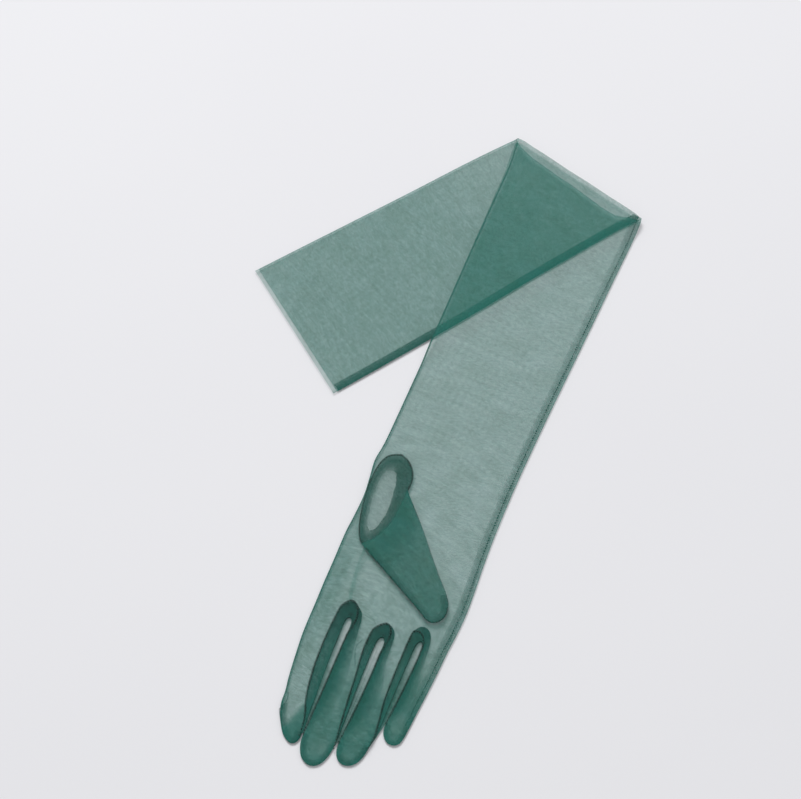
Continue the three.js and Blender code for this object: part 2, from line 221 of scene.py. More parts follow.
def ripple(points, seed, size):
    return np.array([noise.noise(Vector((x / size, y / size, seed))) for x, y in points])


grid = {
    "rowShare": 0.87,  # distance of the rows, of the distance in a row
    "hand": 2.6,  # distance of the points
    "arm": 3.6,
    "armFrom": 140,  # y
    "foldFrom": 300,  # a layer that reaches past this has the fold in it
    "foldClear": 9,  # the fold has finer rows of its own
    "foldAcross": (-185, -50, 2.4),
    "foldRows": (-8, 14.5, 0.75),
    "clear": 1.3,  # between the rows along an edge and the grid
    "closest": 0.4,
    "rowKeep": 0.93,  # rows turned in on themselves at a corner are dropped below this share of their distance
    "lineClear": 3,
    "lineRows": (-1.6, -0.7, 0, 0.7, 1.6),
}


# Triangles inside a loop and outside the holes, with finer rows along the edges, the lines and the fold
def triangulate(loop, holes, rows, step, armStep, lines=()):
    loops = [loop, *holes]
    border = np.concatenate(loops)
    edges = []
    start = 0
    for ring in loops:
        edges += [(start + i, start + (i + 1) % len(ring)) for i in range(len(ring))]
        start += len(ring)
    low, high = loop.min(0), loop.max(0)

    def points(spacing, y0, y1):
        ys = np.arange(y0, y1, spacing * grid["rowShare"])
        xs = np.arange(low[0], high[0], spacing)
        return np.array([(x + (k % 2) * spacing / 2, y) for k, y in enumerate(ys) for x in xs])

    parts = [points(step, low[1], min(grid["armFrom"], high[1]))]
    if high[1] > grid["armFrom"]:
        parts.append(points(armStep, grid["armFrom"], high[1]))
    cloud = np.concatenate(parts)
    past = pastFold(cloud)
    cloud = cloud[np.abs(past - glove["bend"] * math.pi / 2) > grid["foldClear"]]
    if high[1] > grid["foldFrom"]:
        across = np.arange(*grid["foldAcross"])
        for p in np.arange(*grid["foldRows"]):
            cloud = np.concatenate([cloud, across[:, None] * foldAlong + (glove["foldAt"] + p) * foldNormal])
    gap = np.min([distanceTo(cloud, ring, True) for ring in loops], axis=0)
    cloud = cloud[gap > rows[-1] + grid["clear"]]
    extra = []
    for ring in loops:
        for offset in rows:
            side = np.roll(ring, -1, axis=0) - np.roll(ring, 1, axis=0)
            side = np.stack([-side[:, 1], side[:, 0]], 1) / np.linalg.norm(side, axis=1)[:, None]
            for sign in (-1, 1):
                row = ring + sign * offset * side
                extra.append(row[distanceTo(row, ring, True) > grid["rowKeep"] * offset])
    for line in lines:
        side = sideOf(line)
        cloud = cloud[distanceTo(cloud, line) > grid["lineClear"]]
        extra += [line + k * side for k in grid["lineRows"]]
    extra = np.concatenate(extra)
    gap = np.min([distanceTo(extra, ring, True) for ring in loops], axis=0)
    cloud = np.concatenate([cloud, extra[gap > grid["closest"]]])
    keep = inside(cloud, loop)
    for hole in holes:
        keep &= ~inside(cloud, hole)
    corners = [Vector(p) for p in np.concatenate([border, cloud[keep]])]
    verts, _, faces, _, _, _ = geometry.delaunay_2d_cdt(corners, edges, [], 1, 1e-4)
    flat = np.array([tuple(v) for v in verts])
    faces = np.array([tuple(f) for f in faces])
    centre = flat[faces].mean(1)
    keep = inside(centre, loop)
    for hole in holes:
        keep &= ~inside(centre, hole)
    return flat, faces[keep]


# One mesh of several parts. plies, how much net lies at a point, partly painted shade, and the uv of the cloth go to
# the material
def makeMesh(name, parts, *materials):
    verts, faces, plies, uv, finish = [], [], [], [], []
    start = 0
    for part in parts:
        verts.append(part["verts"])
        plies.append(part["plies"])
        uv.append(part["uv"])
        faces += [tuple(int(i) + start for i in face) for face in part["faces"]]
        finish += [part.get("finish", 0)] * len(part["faces"])
        start += len(part["verts"])
    verts, plies, uv = np.concatenate(verts), np.concatenate(plies), np.concatenate(uv)
    mesh = bpy.data.meshes.new(name)
    mesh.from_pydata(verts.tolist(), [], faces)
    mesh.polygons.foreach_set("material_index", finish)
    mesh.attributes.new("plies", "FLOAT", "POINT").data.foreach_set("value", plies.astype(np.float32))
    layer = mesh.uv_layers.new(name="cloth")
    index = np.zeros(len(mesh.loops), np.int32)
    mesh.loops.foreach_get("vertex_index", index)
    layer.data.foreach_set("uv", (uv[index] / 1000).astype(np.float32).ravel())
    work = bmesh.new()
    work.from_mesh(mesh)
    bmesh.ops.remove_doubles(work, verts=work.verts, dist=2e-6)
    bmesh.ops.recalc_face_normals(work, faces=work.faces)
    work.to_mesh(mesh)
    work.free()
    mesh.polygons.foreach_set("use_smooth", [True] * len(mesh.polygons))
    for material in materials:
        mesh.materials.append(material)
    piece = bpy.data.objects.new(name, mesh)
    bpy.context.scene.collection.objects.link(piece)
    return piece


# A strip of net between two paths of the same length: rows are (share of the way across, height, plies)
def strip(pathA, pathB, rows, finish=0):
    verts, plies, uv = [], [], []
    for share, height, thick in rows:
        line = pathA + share * (pathB - pathA)
        height = np.broadcast_to(height, len(line))
        verts.append(place(line, height))
        plies.append(np.broadcast_to(thick, len(line)))
        uv.append(line)
    count = len(pathA)
    faces = [(r * count + i, r * count + i + 1, (r + 1) * count + i + 1, (r + 1) * count + i)
             for r in range(len(rows) - 1) for i in range(count - 1)]
    return {"verts": np.concatenate(verts), "plies": np.concatenate(plies), "uv": np.concatenate(uv),
            "faces": faces, "finish": finish}


def turned(points, degrees):
    a = math.radians(degrees)
    return np.asarray(points) @ np.array([[math.cos(a), math.sin(a)], [-math.sin(a), math.cos(a)]])


# patches, streaks and grain: scale, detail and distortion of the noise, and how much it changes the cover
netLook = {
    "net": (0.012, 0.21, 0.165),
    "thumb": (0.012, 0.172, 0.135),
    "seam": (0.003, 0.055, 0.044),
    "bluer": (0.8, 0.95, 1.08),
    "yellower": (1.2, 1.05, 0.92),
    "deeper": 0.9,  # thicker patches are deeper in colour
    "cover": 0.275,  # share of the light that one layer stops
    "patches": (70, 2, 0.8, 0.35),
    "streaks": (330, 1.5, 1.6, 0.75),
    "grain": (1150, 1, 0.5, 0.6),
    "streakTurn": -24,  # degrees
    "streakScale": (0.42, 1, 1),
    "threads": 1250,  # per metre
    "threadTurn": 4,  # degrees
    "weave": 0.05,
    "roughness": 0.62,
    "specular": 0.25,
    "sheen": 0.12,
    "sheenRoughness": 0.4,
    "relief": 0.25,
    "reliefHeight": 0.0003,
}


# Adds a node. inputs are linked where they are sockets and set where they are values
def node(tree, kind, inputs=None, **settings):
    made = tree.nodes.new(kind)
    for key, value in settings.items():
        setattr(made, key, value)
    for key, value in (inputs or {}).items():
        if isinstance(value, bpy.types.NodeSocket):
            tree.links.new(value, made.inputs[key])
        else:
            made.inputs[key].default_value = value
    return made


def math2(tree, operation, a, b):
    return node(tree, "ShaderNodeMath", {0: a, 1: b}, operation=operation).outputs[0]


def netMaterial(name, color, turn):
    look = netLook
    cover = look["cover"]
    material = bpy.data.materials.new(name)
    material.use_nodes = True
    tree = material.node_tree
    tree.nodes.clear()
    uv = node(tree, "ShaderNodeUVMap", uv_map="cloth").outputs[0]
    plies = node(tree, "ShaderNodeAttribute", attribute_name="plies").outputs["Fac"]
    turnedUv = node(tree, "ShaderNodeMapping", {0: uv, "Rotation": (0, 0, math.radians(turn))}).outputs[0]
    # soft patches and fine streaks, drawn out across the arm as where two nets cross
    drawn = node(tree, "ShaderNodeMapping", {0: turnedUv, "Rotation": (0, 0, math.radians(look["streakTurn"])),
                                             "Scale": look["streakScale"]}).outputs[0]
    noises = {}
    mottle = 0.0
    for kind, vector in (("patches", turnedUv), ("streaks", drawn), ("grain", drawn)):
        scale, detail, distortion, amount = look[kind]
        noises[kind] = node(tree, "ShaderNodeTexNoise", {"Vector": vector, "Scale": scale, "Detail": detail,
                                                         "Distortion": distortion}).outputs["Fac"]
        part = math2(tree, "MULTIPLY", math2(tree, "SUBTRACT", noises[kind], 0.5), amount)
        mottle = math2(tree, "ADD", part, mottle)
    # the threads, both ways
    weave = 0.0
    for degrees in (0, 90):
        angle = math.radians(degrees + look["threadTurn"])
        way = node(tree, "ShaderNodeMapping", {0: turnedUv, "Rotation": (0, 0, angle)}).outputs[0]
        wave = node(tree, "ShaderNodeTexWave", {"Vector": way, "Scale": look["threads"] / 20, "Distortion": 0.6,
                                                "Detail": 1, "Detail Scale": 0.6}, wave_profile="SIN").outputs["Fac"]
        weave = math2(tree, "ADD", math2(tree, "SUBTRACT", wave, 0.5), weave)
    weave = math2(tree, "MULTIPLY", weave, look["weave"])
    share = math2(tree, "ADD", math2(tree, "ADD", mottle, weave), 1.0)
    thick = math2(tree, "MULTIPLY", share, plies)
    clear = math2(tree, "POWER", 1 - cover, thick)
    alpha = math2(tree, "SUBTRACT", 1.0, clear)
    bluer, yellower = ((*(a * b for a, b in zip(color, look[kind])), 1) for kind in ("bluer", "yellower"))
    hue = node(tree, "ShaderNodeMix", {"Factor": noises["patches"], 6: bluer, 7: yellower}, data_type="RGBA")
    # painted shade: several layers shade each other, so where much net lies on one surface its colour is darkened
    shade = math2(tree, "DIVIDE", math2(tree, "SUBTRACT", 2.0, alpha), 2 - cover)
    deeper = math2(tree, "SUBTRACT", 1 + look["deeper"], math2(tree, "MULTIPLY", share, look["deeper"]))
    shade = math2(tree, "MULTIPLY", shade, deeper)
    tone = node(tree, "ShaderNodeVectorMath", {0: hue.outputs[2], "Scale": shade}, operation="SCALE").outputs[0]
    height = node(tree, "ShaderNodeBump", {"Height": share, "Strength": look["relief"],
                                           "Distance": look["reliefHeight"]}).outputs[0]
    shader = node(tree, "ShaderNodeBsdfPrincipled", {
        "Base Color": tone, "Alpha": alpha, "Normal": height, "Roughness": look["roughness"],
        "Specular IOR Level": look["specular"], "Sheen Weight": look["sheen"],
        "Sheen Roughness": look["sheenRoughness"]})
    output = node(tree, "ShaderNodeOutputMaterial")
    tree.links.new(shader.outputs[0], output.inputs["Surface"])
    return material


# A plain material whose colour moves softly between two tones
def tonedMaterial(name, scale, toneA, toneB, **sockets):
    material = bpy.data.materials.new(name)
    material.use_nodes = True
    tree = material.node_tree
    shader = tree.nodes["Principled BSDF"]
    spot = node(tree, "ShaderNodeTexCoord").outputs["Object"]
    cloud = node(tree, "ShaderNodeTexNoise", {"Vector": spot, "Scale": scale, "Detail": 2}).outputs["Fac"]
    tone = node(tree, "ShaderNodeMix", {"Factor": cloud, 6: (*toneA, 1), 7: (*toneB, 1)}, data_type="RGBA")
    tree.links.new(tone.outputs[2], shader.inputs["Base Color"])
    for socket, value in sockets.items():
        shader.inputs[socket.replace("_", " ")].default_value = value
    return material


roomSpec = {
    "world": 0.52,
    "keyPower": 187.0,
    "keySize": 2.4,
    "keySpot": (-2.0, 2.6, 3.9),
    "floorHalf": 4,
    "bounces": 48,  # light goes down through all the layers of net that lie on each other, and back up
}


def makeRoom():
    bpy.context.scene.cycles.transparent_max_bounces = roomSpec["bounces"]
    bpy.context.scene.view_settings.view_transform = "Standard"
    world = bpy.data.worlds.new("studio")
    bpy.context.scene.world = world
    world.use_nodes = True
    back = world.node_tree.nodes["Background"]
    back.inputs[0].default_value = (1, 1, 1, 1)
    back.inputs[1].default_value = roomSpec["world"]
    mesh = bpy.data.meshes.new("floor")
    half = roomSpec["floorHalf"]
    mesh.from_pydata([(-half, -half, 0), (half, -half, 0), (half, half, 0), (-half, half, 0)], [], [(0, 1, 2, 3)])
    mesh.materials.append(tonedMaterial("paleTable", 3, (0.76, 0.76, 0.79), (0.79, 0.79, 0.815),
                                        Roughness=0.85, Specular_IOR_Level=0.1))
    floor = bpy.data.objects.new("floor", mesh)
    bpy.context.scene.collection.objects.link(floor)
    light = bpy.data.lights.new("softbox", "AREA")
    light.shape = "SQUARE"
    light.size = roomSpec["keySize"]
    light.energy = roomSpec["keyPower"]
    lamp = bpy.data.objects.new("softbox", light)
    lamp.location = roomSpec["keySpot"]
    lamp.rotation_euler = (-Vector(roomSpec["keySpot"])).to_track_quat("-Z", "Y").to_euler()
    bpy.context.scene.collection.objects.link(lamp)


makeCamera()
makeRoom()
report("camera, floor and light")

# the last number is how far the cloth is turned, in degrees
netCloth = netMaterial("netCloth", netLook["net"], 0)
thumbCloth = netMaterial("thumbCloth", netLook["thumb"], 18)
seamCloth = netMaterial("seamCloth", netLook["seam"], 37)
thread = tonedMaterial("sewingThread", 900, (0.001, 0.014, 0.01), (0.003, 0.03, 0.022), Roughness=0.7)
seams = []  # where stitches go, filled by the pieces: points and their heights

# The thumb lies on the palm: heights of its two layers and its edges in the drawing
thumbSpec = {
    "low": 2.9,
    "high": 4.0,
    "upperEdge": [(-19.4, 93), (-17.3, 89.5), (-10, 81.4), (0, 70), (10, 57.7), (20, 45.5), (30, 34.2), (33.8, 27.6),
                  (34.8, 20.8), (32.6, 15.6), (28.2, 12.9), (24, 13.8)],
    "lowerEdge": [(24, 13.8), (16, 18.8), (7.2, 23.8), (-1.7, 28.8), (-10.5, 33.8), (-19.3, 38.8), (-28, 43.8),
                  (-31.7, 46.8)],
    "step": 2.4,
    "taper": 2.4,
    "wave": (0.15, 12),  # height and size of its low ripples
    "rootHeight": 2.5,  # comes down to this at the seam, over this width
    "rootWidth": 5,
    "plies": 1.1,
    "outside": 0.25,  # more net outside the hole
    "edge": (0.8, 0.9),
    "root": (1.3, 14, 1),  # at its root: plies, width, and where it starts
    "allowance": 5.2,  # width of the net turned in at its side seam
}
thumbMiddle = (thumbSpec["low"] + thumbSpec["high"]) / 2
# The seam round the thumb hole, and the inner edge of the net turned in at it
thumbRing = [
    (-33, 114.2, -33.2, 101.8), (-37.4, 112.4, -36.3, 100.6), (-41, 109.2, -38, 98), (-43.4, 102.3, -38.8, 94),
    (-44, 91.4, -38.5, 86), (-43, 80.5, -37.4, 77), (-41.2, 69.5, -35.8, 67.5), (-38.4, 58.5, -34, 60.5),
    (-35, 51, -31.9, 57.2), (-31.7, 47.6, -29.8, 57), (-26.4, 52.4, -27.5, 60), (-21.9, 62.3, -26.2, 66),
    (-20, 71.4, -25.3, 74), (-19.4, 85, -26.4, 84), (-19.6, 98.6, -28.2, 94), (-21.8, 105.7, -29.6, 98.6),
    (-26.8, 111.6, -31, 101.2), (-33, 114.2, -33.2, 101.8)]
ringPath = evenPath(thumbRing, 2.2)

# Fine creases in the palm: path, extra net, width
creases = [
    ([(-29, 46), (-28, 30), (-25.5, 15), (-23, 9)], 1.1, 1.0),
    ([(-24, 44), (-26.4, 30), (-24.5, 16)], 0.5, 1.0),
]


# How much more net lies where, over the one layer, some of it painted shade: plies, then the place in mm
trankPlies = {
    "edge": (1.2, 0.8),
    "slits": (0.6, 1.0),
    "hole": (0.5, 1.2),
    "hand": (0.16, 60, 0),  # from the first y to the second; partly denser net, partly painted shade over the palm
    "thumbSideShadow": (0.32, 28, 36, 25, 52),  # painted shadow on the thumb side of the palm; across, then its middle and length along
    "turned": (0.3, -10, 110),  # past the fold; partly darker net, partly painted shadow on the turned-under part
    "fold": (0.25, 2, 7),
}
edgeStep = 2.6
slitStep = 2.0
lowerTurn = 1.6  # degrees between the threads of the two layers
edgeRows = (0.9, 2.3)  # distances of the finer rows along the edges


# Outline of the glove, open or closed. cut is how much shorter the arm is
def handLoop(cut):
    left = list(thumbSideEdge)
    left[0] = (left[0][0], left[0][1] - cut)
    right = list(seamSideEdge)
    right[-1] = (right[-1][0], right[-1][1] - cut)
    runs = [(left, edgeStep), *((path, slitStep) for path in (slitOne, middleTip, slitTwo, ringTip, slitThree)),
            (right, edgeStep), ([right[-1], left[0]], edgeStep)]
    return np.concatenate([evenPath(path, spacing)[:-1] for path, spacing in runs])


def nearest(points, edges):
    return np.min([distanceTo(points, evenPath(edge, edgeStep)) for edge in edges], axis=0)


# How full a layer stands at this distance from its closed edge, 0 to 1
def fullness(share):
    return np.sqrt(np.clip(1 - (1 - share) ** 2, 0, 1))


def makeTrank():
    more = trankPlies
    heightA, sizeA, heightB, sizeB = glove["wave"]
    ring = ringPath[:-1, :2]
    half = (glove["high"] - glove["low"]) / 2
    parts = []
    for upper in (0, 1):
        loop = handLoop(glove["topCut"] if upper else 0)
        lines = [evenPath(path, slitStep) for path, _, _ in creases] if upper else []
        flat, faces = triangulate(loop, [ring] if upper else [], edgeRows, grid["hand"], grid["arm"], lines)
        edge = nearest(flat, (thumbSideEdge, middleTip, ringTip, seamSideEdge))
        share = np.clip(edge / glove["taper"], 0, 1)
        wave = heightA * ripple(flat, 3.0 + upper * 9, sizeA) + heightB * ripple(flat, 5.0 + upper * 7, sizeB)
        wave = np.clip(wave, -glove["waveMost"], glove["waveMost"])
        heights = middle + (half if upper else -half) * fullness(share) + wave * share
        plies = 1 + more["edge"][0] * bump(edge, more["edge"][1])
        plies += more["slits"][0] * bump(nearest(flat, (slitOne, slitTwo, slitThree)), more["slits"][1])
        x, y = flat.T
        # more over the palm: partly denser net, partly painted shade
        amount, start, full = more["hand"]
        plies += amount * smoothStep(-y, -start, -full)
        # painted shadow on the thumb side of the palm
        amount, start, full, centre, width = more["thumbSideShadow"]
        plies += amount * smoothStep(-x, start, full) * bump(y - centre, width)
        past = pastFold(flat)
        # more on the turned-under arm: partly its darker net, partly painted shadow
        amount, start, full = more["turned"]
        plies += amount * smoothStep(past, start, full)
        amount, centre, width = more["fold"]
        plies += amount * bump(past - centre, width)
        if upper:
            plies += more["hole"][0] * bump(distanceTo(flat, ring, True), more["hole"][1])
            for (_, amount, width), line in zip(creases, lines):
                plies += amount * bump(distanceTo(flat, line), width)
        parts.append({"verts": place(flat, heights, inner=0 if upper else 1), "faces": faces, "plies": plies,
                      "uv": turned(flat, 0 if upper else lowerTurn)})
    return makeMesh("trankNet", parts, netCloth)


# Slit edge x and y, seam or inner fold x and y, then how much net lies at the edge, in the middle and at the fold
fourchettes = {
    "fourchette_index_middle": [
        (-16.3, -80, -17, -82, 2, 2, 2), (-17.2, -70, -18.8, -71, 2, 2, 2), (-18, -60, -22.4, -61, 2, 2, 2),
        (-19, -50, -25, -50, 2, 2, 2), (-20, -36, -26.8, -36.4, 2, 2, 2), (-20.6, -20, -27.7, -20, 2, 2, 2),
        (-21.2, -8, -27.5, -4, 2, 2, 2), (-20.9, -3.2, -26.6, 4, 3, 2.8, 2), (-19.1, -1.4, -22.3, 9.1, 3.6, 3.6, 2.6),
        (-17.3, -3.2, -17, 7, 3.4, 3, 2.4), (-16.6, -8, -12.8, 2, 2.4, 2.3, 1.6),
        (-16.3, -18, -10, -14, 2.4, 1.6, 0.5), (-16, -33, -7, -31, 2.2, 1.0, 0.2), (-15.7, -45, -5, -45, 2, 0.9, 0.1),
        (-15.6, -60, -6, -60, 1.6, 0.6, 0.1), (-15.5, -80, -8, -80, 0.9, 0.2, 0)],
    "fourchette_middle_ring": [
        (4.4, -80, 4.9, -82, 2, 2, 2), (4.3, -74, 3.6, -73, 2, 2, 2), (4, -66, 2.6, -66, 2, 2, 2),
        (3.2, -50, 0.5, -50, 2, 2, 2), (2.3, -36, -0.9, -36.4, 2, 2, 2), (1.8, -20, -3.2, -20, 2, 2, 2),
        (1.6, -14, -3.4, -9, 2, 2, 2), (2.2, -8.2, -2.4, -2.5, 3, 2.8, 2), (4.3, -6, 3.2, 3.2, 3.6, 3.6, 2.6),
        (6.4, -8.2, 8.2, 1.5, 3.4, 3, 2.4), (6.9, -14, 10.8, -4, 2.4, 2, 1.2), (7.2, -24, 12.6, -21, 2.4, 1.4, 0.3),
        (7.4, -36, 16.5, -36, 2.2, 0.9, 0.2), (7.2, -50, 17.5, -52, 2, 0.8, 0.1), (6.7, -63, 16, -66, 1.6, 0.5, 0),
        (5.9, -77, 13, -78, 0.9, 0.2, 0)],
    "fourchette_ring_little": [
        (23.8, -73, 23.4, -75.5, 2, 2, 2), (24.6, -64, 24, -66, 2, 2, 2), (24.8, -55, 22.8, -56, 2, 2, 2),
        (24.7, -43, 20.9, -43.6, 2, 2, 2), (24.6, -30, 20.2, -30, 2, 2, 2), (24.5, -14, 19.8, -10, 2, 2, 2),
        (24.4, -8, 19.9, 1, 2, 2, 2), (25, -2, 21, 6.6, 3, 2.6, 2), (26.9, 0.4, 25, 10, 3.4, 3, 2.4),
        (28.8, -2, 30, 7.5, 3, 2.6, 2.4), (29.3, -8, 32.5, 0, 2.4, 2.2, 1.4), (29.2, -18, 34.2, -13, 2.4, 1.3, 0.2),
        (28.8, -30, 36.5, -27, 2.2, 0.6, 0.1), (28.3, -40, 37, -37, 2, 0.4, 0), (27.6, -50, 35, -50, 1.5, 0.2, 0),
        (27.1, -56, 32, -57, 0.9, 0, 0)],
}
# Across a strip from edge to fold: share of the way, height, and how much of the three amounts lies there
flapRows = [(0, 2.0, 1.3, 0, 0), (0.12, 1.9, 1.1, 0, 0), (0.3, 1.8, 1 / 3, 2 / 3, 0), (0.55, 1.6, 0, 0.8, 0),
            (0.8, 1.4, 0, 0.4, 0.45), (0.9, 1.35, 0, 0, 1.4), (1, 1.3, 0, 0, 1.6)]
# Net between the two edges of a slit: share of the way across and how much lies there, partly net and partly painted
# shade in the slit
slitNetAndShade = {
    "fourchette_index_middle": [(0, 6), (0.15, 5), (0.35, 3.9), (0.55, 3.2), (0.8, 2.9), (0.92, 3.4), (1, 6)],
    "fourchette_middle_ring": [(0, 6), (0.14, 3.6), (0.27, 2.3), (0.45, 4.6), (0.6, 2.7), (0.8, 3.2), (0.93, 4.5),
                               (1, 6)],
    "fourchette_ring_little": [(0, 6), (0.2, 5.6), (0.45, 4.6), (0.7, 4), (0.88, 4.4), (1, 6)],
}
# Net bunched at a crotch, as much as bunchedNet says: share of the way across and how much lies there
bunchedNet = {"fourchette_index_middle": 1.2, "fourchette_middle_ring": 0.95, "fourchette_ring_little": 0.6}
bunchedRows = [(0, 0.3), (0.12, 1.6), (0.35, 1.0), (0.6, 0.9), (0.88, 1.4), (1, 0.2)]
# Places along a strip are shares of its length
stripSpec = {
    "step": 2.2,
    "below": 0.8,  # net in the lower fold of the strip, of what lies in the upper one
    "fade": (0.07, 0.9),  # full from here to here
    "most": 1.2,
    "crotch": (0.5, 0.5, 0.09),  # more net: how much, where and how wide
    "turn": (0.5, 0.6),  # the seam crosses from the fold to the edge
    "stitchHeight": 2.4,
    "seam": (0.8, 2.3, 2.35, 2.6),  # dark strip along the seam: half its width, its two heights and its plies
    "bunched": (0.24, 0.105),  # half its length, and how it fades
    "bunchedOver": 0.12,  # height over the upper layer
    "rough": (0.9, 1.3),  # how uneven the bunched net is, and the size of its lumps
    "slitStep": 1.0,
    "slitCells": 40,
    "slitHeight": 1.2,
    "slitTop": (0.42, 0.1, 0.75),  # how much net lies at the top of the slit, and from where to where it grows
}


def makeFourchette(name, rows):
    spec = stripSpec
    path = evenPath(rows, spec["step"])
    edge, fold = path[:, :2], path[:, 2:4]
    along = np.linspace(0, 1, len(path))
    start, stop = spec["fade"]
    more, crotch, width = spec["crotch"]
    ends = smoothStep(along, 0, start) * smoothStep(along, 1, stop)
    ends = ends * (spec["most"] + more * bump(along - crotch, width))
    atEdge, mid, atFold = (path[:, 4:] * ends[:, None]).T
    flap = [(share, height, a * atEdge + b * mid + c * atFold) for share, height, a, b, c in flapRows]
    below = [(share, 2 * middle - height, thick * spec["below"]) for share, height, thick in flap]
    parts = [strip(edge, fold, flap), strip(edge, fold, below)]
    # the seam runs on the inner side of the first finger, over the top and down the edge of the next one
    turn = smoothStep(along, *spec["turn"])[:, None]
    sewn = fold * (1 - turn) + edge * turn
    seams.append((sewn, np.full(len(path), spec["stitchHeight"])))
    half, low, high, thick = spec["seam"]
    side = half * sideOf(sewn)
    parts.append(strip(sewn - side, sewn + side, [(0, low, 0), (0.5, high, thick * ends), (1, low, 0)]))
    # net bunches up on top round the crotch
    length, fade = spec["bunched"]
    uneven, size = spec["rough"]
    away = np.linspace(-0.5, 0.5, len(path))
    near = np.abs(away) < length
    rough = []
    for share, thick in bunchedRows:
        line = (edge + share * (fold - edge))[near]
        bunched = bump(away[near], fade) * np.clip(1 + uneven * ripple(line, 4.5, size), 0, 2)
        rough.append((share, glove["high"] + spec["bunchedOver"], thick * bunched * bunchedNet[name]))
    parts.append(strip(edge[near], fold[near], rough))
    # the net that shows in the slit, from its top down to the tips; how much lies there is partly net and partly
    # painted shade in the slit
    count = len(rows) // 2
    left = evenPath([row[:2] for row in rows[: count + 1]][::-1], spec["slitStep"])
    right = evenPath([row[:2] for row in rows[count:]], spec["slitStep"])
    at = np.linspace(0, 1, spec["slitCells"])
    pair = [np.stack([np.interp(at, np.linspace(0, 1, len(p)), p[:, k]) for k in (0, 1)], 1) for p in (left, right)]
    top, start, full = spec["slitTop"]
    deeper = top + (1 - top) * smoothStep(at, start, full)
    parts.append(strip(*pair, [(share, spec["slitHeight"], thick * (1 if share in (0, 1) else deeper))
                               for share, thick in slitNetAndShade[name]], 1))
    return makeMesh(name + "Net", parts, seamCloth, thumbCloth)


# Net turned in along the side seam. front and turned are where it begins and ends, measured in from the edge,
# before and after the fold
sideSeam = {
    "along": (-52, 602, 2.0),
    "turn": (346, 362),
    "front": (2.9, 6.3),
    "turned": (0.5, 5.0),
    "narrow": (-60, 20, 0.6),  # narrower at the little finger: from where to where, and its share there
    "plies": 1.3,
    "turnedPlies": 5.5,
    "least": 0.55,
    "thicker": [(0.5, 20, 60), (0.4, 150, 110), (0.5, 350, 30)],  # how much, where and over what length
}
# share of the way from its beginning to its end, and of its plies; the first three reach out to the edge
seamOutside = [(-0.5, 0), (-0.38, 0.5), (-0.1, 0.6)]
seamInside = [(0, 1), (0.15, 0.85), (0.7, 0.65), (1, 0.5), (1.25, 0)]
turnedOutside = 0.8  # much less of it reaches out after the fold


def makeSideSeam():
    spec = sideSeam
    y = np.arange(*spec["along"])
    turn = smoothStep(y, *spec["turn"])
    out, far = (a * (1 - turn) + b * turn for a, b in zip(spec["front"], spec["turned"]))
    start, full, least = spec["narrow"]
    far = out + (far - out) * (least + (1 - least) * smoothStep(y, start, full))
    edge = np.stack([seamX(y), y], 1)
    outer = edge - np.stack([out, 0 * y], 1)
    inner = edge - np.stack([far, 0 * y], 1)
    most = spec["least"]
    for amount, centre, width in spec["thicker"]:
        most = most + amount * bump(y - centre, width)
    most = spec["plies"] * most * (1 - turn) + spec["turnedPlies"] * turn
    outside = (1 - turnedOutside * turn)[:, None]
    rows = [(outside * share, middle, most * thick) for share, thick in seamOutside]
    rows += [(share, middle, most * thick) for share, thick in seamInside]
    stitch = np.where((turn < 0.5)[:, None], outer, inner)
    seams.append((stitch, np.full(len(y), middle)))
    return makeMesh("sideSeamNet", [strip(outer, inner, rows)], seamCloth)


def makeThumb():
    spec = thumbSpec
    far = ringPath[:, :2]
    upperEdge = evenPath(spec["upperEdge"], spec["step"])
    lowerEdge = evenPath(spec["lowerEdge"], spec["step"])
    start = int(np.argmin(np.linalg.norm(far - upperEdge[0], axis=1)))
    stop = int(np.argmin(np.linalg.norm(far - lowerEdge[-1], axis=1)))
    back = np.concatenate([far[stop:0:-1], far[-1:start:-1]])  # round the far side of the hole
    near = far[stop + 1:start]
    outline = np.concatenate([upperEdge[:-1], lowerEdge])
    half = (spec["high"] - spec["low"]) / 2
    wave, size = spec["wave"]
    atRoot, rootFade, rootStart = spec["root"]
    parts = []
    for upper in (0, 1):
        loop = np.concatenate([outline, back if upper else near])
        flat, faces = triangulate(loop, [], edgeRows, grid["hand"], grid["hand"])
        edge = distanceTo(flat, outline)
        share = np.clip(edge / spec["taper"], 0, 1)
        heights = thumbMiddle + (half if upper else -half) * fullness(share)
        heights = heights + wave * ripple(flat, 2.0 + upper, size) * share
        if upper:
            drop = thumbMiddle + half - spec["rootHeight"]
            heights = heights - drop * bump(distanceTo(flat, back), spec["rootWidth"])
        outside = ~inside(flat, ringPath[:-1, :2])
        root = outside * bump(np.maximum(distanceTo(flat, near) - rootStart, 0), rootFade)
        plies = spec["plies"] + spec["outside"] * outside
        plies = plies + spec["edge"][0] * bump(edge, spec["edge"][1]) + atRoot * root
        parts.append({"verts": place(flat, heights), "faces": faces, "plies": plies, "uv": turned(flat, 20 + upper)})
    return makeMesh("thumbNet", parts, thumbCloth)


# From the seam to the inner edge of the net turned in: share of the way, height, plies, and how many more on the
# right-hand side
holeRows = [(-0.08, 2.35, 0.8, 0), (0, 2.4, 6, 0), (0.1, 2.45, 5, -1), (0.4, 2.5, 4.2, -0.8), (0.65, 2.5, 1.9, 1.9),
            (0.85, 2.5, 1.2, 2.6), (0.97, 2.5, 0.8, 3.2), (1.03, 2.5, 0, 0)]
holeSeam = {
    "ragged": (0.6, 1.3),  # of the inner edge: how far and how fine
    "right": (-36, -26),
    "innerStitches": (8, 13),  # rows of thumbRing between which the inner edge is sewn too
    "stitchHeight": 2.6,
}


